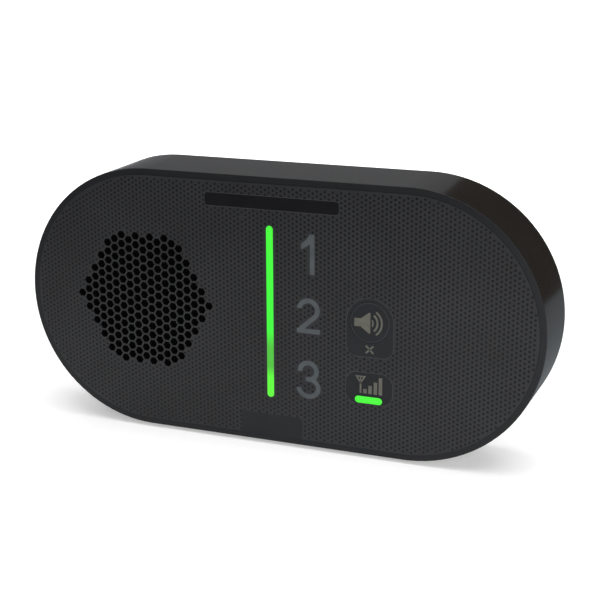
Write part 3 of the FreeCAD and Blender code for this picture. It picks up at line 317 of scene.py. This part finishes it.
def two_faced(name, front_colours, side_colours, front_rough, side_rough):
    """One finish for faces that look to the front and another, glossier, for all the rest."""
    made = Nodes(name)
    facing = made.add("ShaderNodeSeparateXYZ")
    made.link(made.add("ShaderNodeNewGeometry").outputs["Normal"], facing.inputs[0])
    front = made.spread(facing.outputs["Y"], 1.0, 0.0, -0.95, -0.6)
    clouds = made.spread(made.noise(45.0), 0.0, 1.0)
    tones = [made.mix(clouds, (*low, 1), (*high, 1)) for low, high in (side_colours, front_colours)]
    fine = made.noise(31.5)
    gloss = made.add("ShaderNodeMix")
    made.link(front, gloss.inputs["Factor"])
    made.link(made.spread(fine, *side_rough), gloss.inputs["A"])
    made.link(made.spread(fine, *front_rough), gloss.inputs["B"])
    made.surface(made.mix(front, *tones), gloss.outputs["Result"], 0.2, made.noise(260.0, 2.0),
                 0.006 * MM)
    return made.material


shell_paint = two_faced("shell_paint", ((0.0085, 0.0092, 0.0105), (0.0105, 0.0112, 0.0125)),
                        ((0.0075, 0.0068, 0.006), (0.0105, 0.0098, 0.009)),
                        (0.42, 0.5), (0.13, 0.2))
fascia_paint = plastic("fascia_paint", (0.0139, 0.0144, 0.0158), (0.48, 0.56), grain=3200.0,
                       depth=0.004, cloud=30.0, vary=0.2, specular=0.29)
# the dimples' tone, with a painted sheen that is paler low down and to the right
dimple_paint_and_sheen = sheen_graded("dimple_paint_and_sheen", (0.0084, 0.0085, 0.0096), (0.0026, 0.0026, 0.0034), 35 * MM,
                     (45 * MM, 75 * MM))
# painted shade: the fascia's hole walls and edges are its own plastic, painted near black for the
# shade in them
wall_shade_paint = plastic("wall_shade_paint", (0.0025, 0.0025, 0.0025), (0.75, 0.85), specular=0.05)

FINISH = {
    shell_paint: ["case_shell"],
    fascia_paint: ["front_fascia"],
    cover_paint: ["back_cover", "battery_door"],
    inlay_paint: ["cancel_plate", "signal_plate"],
    label_paint: ["label_plate"],
    badge_paint: ["badge_plate"],
    key_paint: ["cancel_key"],
    digit_paint: ["digit_lens_1", "digit_lens_2", "digit_lens_3"],
    bar_glow: ["light_bar_lens"],
    lamp_glow: ["signal_lens"],
    white_paint: ["light_box", "signal_light_box"],
    foam: ["fascia_tape", "speaker_gasket"],
    silicone: ["key_dome"],
    board_paint: ["main_board"],
    chip_paint: ["processor", "battery_connector", "speaker_connector", "dc_jack", "power_switch",
                 "key_contact"],
    shield_metal: ["cellular_module", "receiver_module", "sim_socket", "microphone", "capacitors"],
    lamp_resin: ["bar_leds", "digit_leds", "signal_leds"],
    black_cloth: ["grille_cloth", "speaker_spider"],
    steel_paint: ["speaker_frame", "speaker_front_pole", "speaker_back_pole"],
    ferrite_dark: ["speaker_magnet"],
    paper: ["speaker_cone", "dust_cap"],
    rubber: ["speaker_surround", "microphone_boot", "rubber_feet", "speaker_lead", "battery_lead",
             "antenna_lead", "receiver_antenna"],
    brass_metal: ["voice_coil", "dc_jack_pin"],
    screw_metal: ["case_screws", "board_screws", "speaker_screws"],
    slider_paint: ["switch_slider"],
    amber_film: ["cellular_antenna"],
    cell_sleeve: ["battery_cells"],
}

for finish, names in FINISH.items():
    for name in names:
        nodes[name].data.materials.clear()
        nodes[name].data.materials.append(finish)


# Pieces

def new_piece(name, mesh, body, slot, *materials):
    piece = bpy.data.objects.new(name, mesh)
    scene.collection.objects.link(piece)
    for item in materials:
        mesh.materials.append(item)
    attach(piece, body)
    return piece


VOTERS = 40             # about how many triangles say what their region is


def sort_regions(points, links, kind_of):
    """Triangles between the linked lines, sorted by the kind of region that they fill.

    A region is all that can be reached without crossing a line. kind_of(x, y) says what lies
    at a place, and the most frequent answer in a region holds for all of it.
    """
    verts, edges, faces, _, sources, _ = delaunay_2d_cdt(points, links, [], 1, 1e-9)
    lines = {tuple(sorted(edge)) for edge, source in zip(edges, sources) if source}
    sharing = {}
    for number, face in enumerate(faces):
        for step in range(3):
            side = tuple(sorted((face[step - 1], face[step])))
            if side not in lines:
                sharing.setdefault(side, []).append(number)
    beside = [[] for _ in faces]
    for pair in sharing.values():
        if len(pair) == 2:
            beside[pair[0]].append(pair[1])
            beside[pair[1]].append(pair[0])
    seen = [False] * len(faces)
    kinds = {}
    for first in range(len(faces)):
        if seen[first]:
            continue
        seen[first] = True
        region = [first]
        for number in region:
            for other in beside[number]:
                if not seen[other]:
                    seen[other] = True
                    region.append(other)
        votes = Counter()
        for number in region[::max(1, len(region) // VOTERS)]:
            middle = sum((verts[corner] for corner in faces[number]), Vector((0, 0))) / 3
            votes[kind_of(middle.x, middle.y)] += 1
        kind = votes.most_common(1)[0][0]
        kinds.setdefault(kind, []).extend(faces[number] for number in region)
    return verts, edges, sources, kinds


# Fascia with its dimples: the node's own mesh with a pitted front face, in millimetres

DOT_PITCH = 1.75
DOT_COLUMN = DOT_PITCH * math.sqrt(3) / 2
DOT_RADIUS = 0.47
DOT_DEPTH = 0.3
DOT_SIDES = 12
DOT_START = (26.51, 21.67)      # one dot's place on the face
DOT_MARGIN = 0.1                # clear of an edge
DOT_CUT = 0.12                  # a plate's edge this near a dot's middle drops the dot
FACE_REACH = (101, 51)          # no dot lies further out than this
PLATE_SLACK = 0.05 * MM
SAMPLE_STEP = 0.25 * MM
PLATES = [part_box(name) for name in ("label_plate", "cancel_plate", "signal_plate", "badge_plate")]


def edge_tree(edges):
    """Places along the edges, about SAMPLE_STEP apart."""
    samples = []
    for edge in edges:
        start, end = [vertex.co for vertex in edge.verts]
        steps = max(1, int((end - start).length / SAMPLE_STEP))
        samples.extend(start.lerp(end, step / steps) for step in range(steps + 1))
    tree = KDTree(len(samples))
    for number, place in enumerate(samples):
        tree.insert(place, number)
    tree.balance()
    return tree


def beside_plate(edge):
    """Whether an edge of the fascia lies round one of the plates."""
    for low, high in PLATES:
        if all(low.x - PLATE_SLACK < end.co.x < high.x + PLATE_SLACK
               and low.z - PLATE_SLACK < end.co.z < high.z + PLATE_SLACK for end in edge.verts):
            return True
    return False


def dot_places(inside, border):
    """Honeycomb places on the flat face, clear of its edges; the plates' edges may cut a dot."""
    plain = edge_tree([edge for edge in border if not beside_plate(edge)])
    plates = edge_tree([edge for edge in border if beside_plate(edge)])
    wide, tall = FACE_REACH
    columns = range(math.floor((-wide - DOT_START[0]) / DOT_COLUMN),
                    math.ceil((wide - DOT_START[0]) / DOT_COLUMN))
    rows = range(math.floor((DOT_START[1] - tall) / DOT_PITCH),
                 math.ceil((DOT_START[1] + tall) / DOT_PITCH))
    places = []
    for column in columns:
        shift = (column % 2) * 0.5
        across = DOT_START[0] + column * DOT_COLUMN
        for row in rows:
            up = DOT_START[1] - (row + shift) * DOT_PITCH
            place = at(across, up)
            if inside.find_nearest(place, FLAT)[0] is None:
                continue
            if plain.find(place)[2] < (DOT_RADIUS + DOT_MARGIN) * MM:
                continue
            if plates.find(place)[2] > DOT_CUT * MM:
                places.append(place)
    return places


END_SHARE = 1e-4        # a cut this near an edge's end, as a share of it, is at its end


def split_border(border, verts, edges, sources):
    """Gives the border of the old mesh the corners that the dots cut into it."""
    on_link = {}
    for edge, source in zip(edges, sources):
        for number in source:
            if number < len(border):
                on_link.setdefault(number, set()).update(edge)
    for number in sorted(on_link):
        edge = border[number]
        first, last = edge.verts
        run = last.co - first.co
        shares = []
        for corner in on_link[number]:
            place = Vector((verts[corner].x, FACE_Y, verts[corner].y))
            share = (place - first.co).dot(run) / run.length_squared
            if END_SHARE < share < 1 - END_SHARE:
                shares.append((share, place))
        rest = 1.0
        for share, place in sorted(shares, key=lambda pair: -pair[0]):
            _, corner = bmesh.utils.edge_split(edge, first, share / rest)
            corner.co = place
            edge = next(piece for piece in first.link_edges if piece.other_vert(first) is corner)
            rest = share


def welded(name):
    """A node's mesh as a bmesh, with its doubled corners joined."""
    build = bmesh.new()
    build.from_mesh(nodes[name].data)
    bmesh.ops.remove_doubles(build, verts=build.verts, dist=WELD)
    return build


def front_faces(build, depth):
    """The faces that look to the front and lie in the plane y = depth."""
    return [face for face in build.faces
            if face.normal.y < FACING and abs(face.calc_center_median().y - depth) < FLAT]


def faces_tree(faces):
    """A tree that tells whether a place lies on the faces."""
    corners, polygons = [], []
    for face in faces:
        polygons.append(range(len(corners), len(corners) + len(face.verts)))
        corners.extend(vertex.co.copy() for vertex in face.verts)
    return BVHTree.FromPolygons(corners, polygons)


def border_lines(border):
    """The border's corners, seen from the front, and its edges as pairs of them."""
    points, links, index = [], [], {}
    for edge in border:
        pair = []
        for vertex in edge.verts:
            if vertex.index not in index:
                index[vertex.index] = len(points)
                points.append(Vector((vertex.co.x, vertex.co.z)))
            pair.append(index[vertex.index])
        links.append(pair)
    return points, links


def make_fascia():
    source = welded("front_fascia")
    front = front_faces(source, FACE_Y)
    inside = faces_tree(front)
    bmesh.ops.delete(source, geom=front, context="FACES")
    # painted shade on all but the front face: hole walls and edges near black
    for face in source.faces:
        face.material_index = 2     # wall_shade_paint
    border = [edge for edge in source.edges if len(edge.link_faces) == 1]

    points, links = border_lines(border)
    dots = dot_places(inside, border)
    tips = KDTree(len(dots))
    for number, place in enumerate(dots):
        tips.insert(place, number)
        first = len(points)
        for side in range(DOT_SIDES):
            angle = 2 * math.pi * (side + 0.5) / DOT_SIDES
            points.append(Vector((place.x + DOT_RADIUS * MM * math.cos(angle),
                                  place.z + DOT_RADIUS * MM * math.sin(angle))))
        links.extend([first + side, first + (side + 1) % DOT_SIDES] for side in range(DOT_SIDES))
        points.append(Vector((place.x, place.z)))
    tips.balance()
    flat_reach = DOT_RADIUS * MM * math.cos(math.pi / DOT_SIDES)

    def kind_of(across, up):
        place = Vector((across, FACE_Y, up))
        if inside.find_nearest(place, FLAT / 2)[0] is None:
            return "outside"
        return "sheet" if tips.find(place)[2] > flat_reach else "dot"

    verts, edges, sources, kinds = sort_regions(points, links, kind_of)
    split_border(border, verts, edges, sources)
    sheet = []
    for point in verts:
        place = Vector((point.x, FACE_Y, point.y))
        if tips.find(place)[2] < WELD:
            place.y += DOT_DEPTH * MM
        sheet.append(source.verts.new(place))
    for material, kind in enumerate(("sheet", "dot")):
        for face in kinds[kind]:
            source.faces.new([sheet[corner] for corner in face]).material_index = material
    loose = [vertex for vertex in source.verts if not vertex.link_faces]
    bmesh.ops.delete(source, geom=loose, context="VERTS")
    bmesh.ops.remove_doubles(source, verts=source.verts, dist=WELD)
    bmesh.ops.recalc_face_normals(source, faces=source.faces)
    open_edges = sum(1 for edge in source.edges if len(edge.link_faces) != 2)
    print("fascia dots", len(dots), "faces", len(source.faces), "open edges", open_edges)
    mesh = bpy.data.meshes.new("dimpled_fascia")
    source.to_mesh(mesh)
    source.free()
    piece = new_piece("dimpled_fascia", mesh, "base", "fascia_black",
                      fascia_paint, dimple_paint_and_sheen, wall_shade_paint)
    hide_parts("front_fascia")


make_fascia()


# Silicone dome under the cancel key, as a piece with its own mesh

def make_dome():
    mesh = nodes["key_dome"].data.copy()
    mesh.name = "soft_dome"
    piece = new_piece("soft_dome", mesh, "base", "silicone")
    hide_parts("key_dome")
    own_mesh(piece)


make_dome()


# Printed symbols and painted highlight lines, as thin raised layers, in millimetres

INK = 0.03              # stands out of the face
INK_ROOT = 0.01         # reaches into it
LINE_WIDTH = 0.22       # of the painted highlight line round a plate


def arc_points(middle, radius, start, end, steps):
    points = []
    for step in range(steps + 1):
        angle = math.radians(start + (end - start) * step / steps)
        points.append((middle[0] + radius * math.cos(angle), middle[1] + radius * math.sin(angle)))
    return points


def band(middle, inner, outer, start, end):
    """A curved stroke with round ends."""
    points = []
    for radius, first, last, cap in ((outer, start, end, end), (inner, end, start, start + 180)):
        points += arc_points(middle, radius, first, last, 24)
        turn = math.radians(last)
        tip = (middle[0] + (outer + inner) / 2 * math.cos(turn),
               middle[1] + (outer + inner) / 2 * math.sin(turn))
        points += arc_points(tip, (outer - inner) / 2, cap, cap + 180, 6)[1:-1]
    return points


def bar_outline(left, right, low, high, radius):
    """A rectangle with round corners."""
    points = []
    inner = (left + radius, right - radius, low + radius, high - radius)
    for across, up, start in ((1, 3, 0), (0, 3, 90), (0, 2, 180), (1, 2, 270)):
        points += arc_points((inner[across], inner[up]), radius, start, start + 90, 5)
    return points


def stroke_outline(start, end, width):
    """A straight stroke with square ends."""
    first, last = Vector(start), Vector(end)
    run = last - first
    side = Vector((-run.y, run.x)).normalized() * width / 2
    return [tuple(first - side), tuple(last - side), tuple(last + side), tuple(first + side)]


def encloses(loops, across, up):
    """Whether a point lies inside an odd number of the loops."""
    inside = False
    for loop in loops:
        for (x0, z0), (x1, z1) in zip(loop, loop[1:] + loop[:1]):
            if (z0 > up) != (z1 > up) and across < x0 + (up - z0) * (x1 - x0) / (z1 - z0):
                inside = not inside
    return inside


def print_symbol(name, outlines, body, slot, ink, depth=0.0):
    """Flat raised shapes on the face, or depth behind it.

    An outline is a list of points, or a pair of such lists for a ring.
    """
    build = bmesh.new()
    for outline in outlines:
        loops = outline if isinstance(outline, tuple) else (outline,)
        points, links = [], []
        for loop in loops:
            first = len(points)
            points += [Vector(point) for point in loop]
            links += [[first + step, first + (step + 1) % len(loop)] for step in range(len(loop))]
        flat, _, _, kinds = sort_regions(points, links,
                                         lambda across, up: encloses(loops, across, up))
        top = [build.verts.new(at(point.x, point.y, depth - INK)) for point in flat]
        floor = [build.verts.new(at(point.x, point.y, depth + INK_ROOT)) for point in flat]
        sides = {}
        for face in kinds[True]:
            build.faces.new([top[corner] for corner in face])
            build.faces.new([floor[corner] for corner in reversed(face)])
            for step in range(3):
                side = (face[step - 1], face[step])
                key = tuple(sorted(side))
                sides[key] = None if key in sides else side     # None: inside the shape
        for side in sides.values():
            if side is not None:
                start, end = side
                build.faces.new((top[end], top[start], floor[start], floor[end]))
    bmesh.ops.recalc_face_normals(build, faces=build.faces)
    mesh = bpy.data.meshes.new(name)
    build.to_mesh(mesh)
    build.free()
    new_piece(name, mesh, body, slot, ink)


def plate_outline(name):
    """The outer edge of a plate's face, as points in order, in millimetres on the face."""
    build = welded(name)
    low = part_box(name)[0]
    front = set(front_faces(build, low.y))
    ahead = {}
    for face in front:
        for loop in face.loops:
            if sum(other in front for other in loop.edge.link_faces) == 1:
                ahead[loop.vert] = loop.link_loop_next.vert
    start = min(ahead, key=lambda vertex: (vertex.co.x, vertex.co.z))
    outline, vertex = [], start
    while not outline or vertex is not start:
        outline.append((vertex.co.x / MM, (vertex.co.z - CENTRE_Z) / MM))
        vertex = ahead[vertex]
    build.free()
    return outline


def inset(outline, width):
    """A convex outline drawn in by the width."""
    centre = sum((Vector(point) for point in outline), Vector((0, 0))) / len(outline)
    points = []
    for before, here, after in zip(outline[-1:] + outline[:-1], outline, outline[1:] + outline[:1]):
        run = (Vector(after) - Vector(before)).normalized()
        side = Vector((-run.y, run.x))
        if side.dot(centre - Vector(here)) < 0:
            side = -side
        points.append(tuple(Vector(here) + side * width))
    return points


def make_key_symbols():
    key_depth = (KEY_Y - FACE_Y) / MM
    horn = [(31.8, -1.25), (34.2, -1.25), (37.3, -3.6), (37.8, -3.5), (37.8, 4.0), (37.3, 4.1),
            (34.2, 1.75), (31.8, 1.75)]
    waves = [
        band((36.55, 0.3), 1.95, 2.5, -26, 26),
        band((36.7, 0.35), 3.4, 4.1, -46, 46),
        band((36.9, 0.35), 4.8, 5.5, -51, 51),
    ]
    print_symbol("loudspeaker_symbol", [horn] + waves, "cancel_key", "key_dark", symbol_ink,
                 key_depth)
    middle = (KEY_X / MM, (KEY_Z - CENTRE_Z) / MM)
    # a painted highlight ring along the key's rounded edge
    ring = (arc_points(middle, 7.28, 0, 354, 59), arc_points(middle, 7.04, 0, 354, 59))
    print_symbol("key_edge_highlight", [ring], "cancel_key", "key_dark", highlight_ink, key_depth)


def make_plate_symbols():
    bars = [(35.4, 36.7, -24.6), (37.3, 38.6, -23.2), (39.3, 40.6, -21.7), (41.2, 42.5, -19.8)]
    aerial = ([(32.3, -19.7), (34.35, -22.9), (36.4, -19.7)],
              [(33.3, -20.25), (34.35, -21.85), (35.4, -20.25)])
    symbols = {
        "cancel_mark": [stroke_outline((36.2, -11.0), (39.0, -8.2), 0.65)],
        "cancel_mark_back": [stroke_outline((36.2, -8.2), (39.0, -11.0), 0.65)],
        "signal_bars": [bar_outline(left, right, -26.3, high, 0.15) for left, right, high in bars],
        "signal_mast": [bar_outline(34.0, 34.7, -26.3, -22.2, 0.1)],
        "signal_aerial": [aerial],
        "signal_aerial_rib": [bar_outline(34.12, 34.58, -22.0, -20.1, 0.05)],
    }
    for name, outlines in symbols.items():
        print_symbol(name, outlines, "base", "inlay_dark", symbol_ink)
    # round each plate a thin painted highlight line, lighter than the plate
    for name in ("label_plate", "cancel_plate", "signal_plate"):
        outline = plate_outline(name)
        line = (outline, inset(outline, LINE_WIDTH))
        print_symbol(name + "_highlight_line", [line], "base", "inlay_dark", highlight_ink)


make_key_symbols()
make_plate_symbols()


# Stage and light

WORLD_LEVEL = 0.22
FLOOR_HALF = 6.0        # metres
CARD_Y = 1.2            # the upright cards behind
NEAR_Y = FACE_Y - 0.12  # the upright card in front
WARM_DARK = (0.07, 0.058, 0.05)


def stage_plane(name, corners, material):
    mesh = bpy.data.meshes.new(name)
    mesh.from_pydata(corners, [], [(0, 1, 2, 3)])
    mesh.materials.append(material)
    plane = bpy.data.objects.new(name, mesh)
    scene.collection.objects.link(plane)
    return plane


def flat_corners(left, right, front, back, up):
    return [(left, front, up), (right, front, up), (right, back, up), (left, back, up)]


def wall_corners(left, right, depth, low, high):
    return [(left, depth, low), (right, depth, low), (right, depth, high), (left, depth, high)]


def floor_material():
    """Pale and matt; seen straight or mirrored it is white but for the object's shadow."""
    made = Nodes("floor_paper")
    made.shader.inputs["Base Color"].default_value = (0.8, 0.8, 0.8, 1)
    made.shader.inputs["Roughness"].default_value = 0.9
    made.shader.inputs["Specular IOR Level"].default_value = 0.0
    made.shader.inputs["Emission Color"].default_value = (1, 1, 1, 1)
    rays = made.add("ShaderNodeLightPath")
    seen = rays.outputs["Is Camera Ray"]
    for kind in ("Is Glossy Ray", "Is Transmission Ray"):
        seen = made.math("MAXIMUM", seen, rays.outputs[kind])
    reach = made.add("ShaderNodeVectorMath", operation="LENGTH")
    made.link(made.place, reach.inputs[0])
    lift = made.spread(reach.outputs["Value"], 0.35, 0.9, 0.16, 0.6)
    made.link(made.math("MULTIPLY", seen, lift), made.shader.inputs["Emission Strength"])
    return made.material


def card(name, corners, colour, rise=None):
    """A board that only shows as a reflection.

    rise is (start, end, low, high): from x = start to end its strength goes from low to high.
    """
    made = Nodes(name)
    made.shader.inputs["Base Color"].default_value = (0, 0, 0, 1)
    made.shader.inputs["Specular IOR Level"].default_value = 0.0
    made.shader.inputs["Emission Color"].default_value = (*colour, 1)
    made.shader.inputs["Emission Strength"].default_value = 1.0
    if rise:
        start, end, low, high = rise
        made.link(made.spread(made.along("X"), low, high, start, end),
                  made.shader.inputs["Emission Strength"])
    plane = stage_plane(name, corners, made.material)
    for kind in ("camera", "diffuse", "transmission", "volume_scatter", "shadow"):
        setattr(plane, "visible_" + kind, False)


def area_light(name, place, target, size, power):
    data = bpy.data.lights.new(name, "AREA")
    data.shape = "RECTANGLE"
    data.size, data.size_y = size
    data.energy = power
    lamp = bpy.data.objects.new(name, data)
    scene.collection.objects.link(lamp)
    lamp.location = place
    lamp.rotation_mode = "QUATERNION"
    lamp.rotation_quaternion = (Vector(target) - Vector(place)).to_track_quat("-Z", "Y")
    return lamp


def make_lamps():
    area_light("key_light", (0.55, -0.75, 0.3), (0.05, 0, 0.03), (0.5, 0.5), 5.5)
    area_light("top_light", (0.2, -0.2, 1.4), (0, -0.1, 0), (1.4, 1.4), 18.0)
    back_light = area_light("back_light", (-0.3, 1.3, 0.9), (0, 0, 0.05), (1.2, 0.8), 7.0)
    back_light.visible_glossy = False


def make_world():
    """Even light for the object; plain white to the camera and in mirrors."""
    world = bpy.data.worlds.new("world")
    scene.world = world
    world.use_nodes = True
    tree = world.node_tree
    sky = tree.nodes["Background"]
    rays = tree.nodes.new("ShaderNodeLightPath")
    seen = rays.outputs["Is Camera Ray"]
    for kind in ("Is Glossy Ray", "Is Transmission Ray"):
        either = tree.nodes.new("ShaderNodeMath")
        either.operation = "MAXIMUM"
        tree.links.new(seen, either.inputs[0])
        tree.links.new(rays.outputs[kind], either.inputs[1])
        seen = either.outputs[0]
    level = tree.nodes.new("ShaderNodeMapRange")
    level.inputs["To Min"].default_value = WORLD_LEVEL
    level.inputs["To Max"].default_value = 1.0
    tree.links.new(seen, level.inputs["Value"])
    tree.links.new(level.outputs["Result"], sky.inputs["Strength"])
    sky.inputs["Color"].default_value = (1, 1, 1, 1)


stage_plane("floor", flat_corners(-FLOOR_HALF, FLOOR_HALF, -FLOOR_HALF, FLOOR_HALF, 0.0),
            floor_material())
card("dark_card", wall_corners(-0.1, 2.4, CARD_Y, 0.0, 1.8), WARM_DARK)
card("grey_card", wall_corners(-2.4, -0.1, CARD_Y, 0.0, 1.8), (0.235, 0.24, 0.25))
card("table_card", flat_corners(0.06, 2.4, 0.03, 0.4, 0.002), (0.23, 0.25, 0.265))
card("far_card", flat_corners(0.06, 2.4, 0.4, 1.19, 0.002), WARM_DARK)
card("near_card", [(-0.28, NEAR_Y, 0.001), (0.5, NEAR_Y, 0.112), (0.5, NEAR_Y, 0.7),
                   (-0.28, NEAR_Y, 0.7)], (1.0, 1.0, 1.05), (-0.2, 0.1, 0.01, 0.1))
make_world()
make_lamps()

scene.view_settings.view_transform = "Standard"
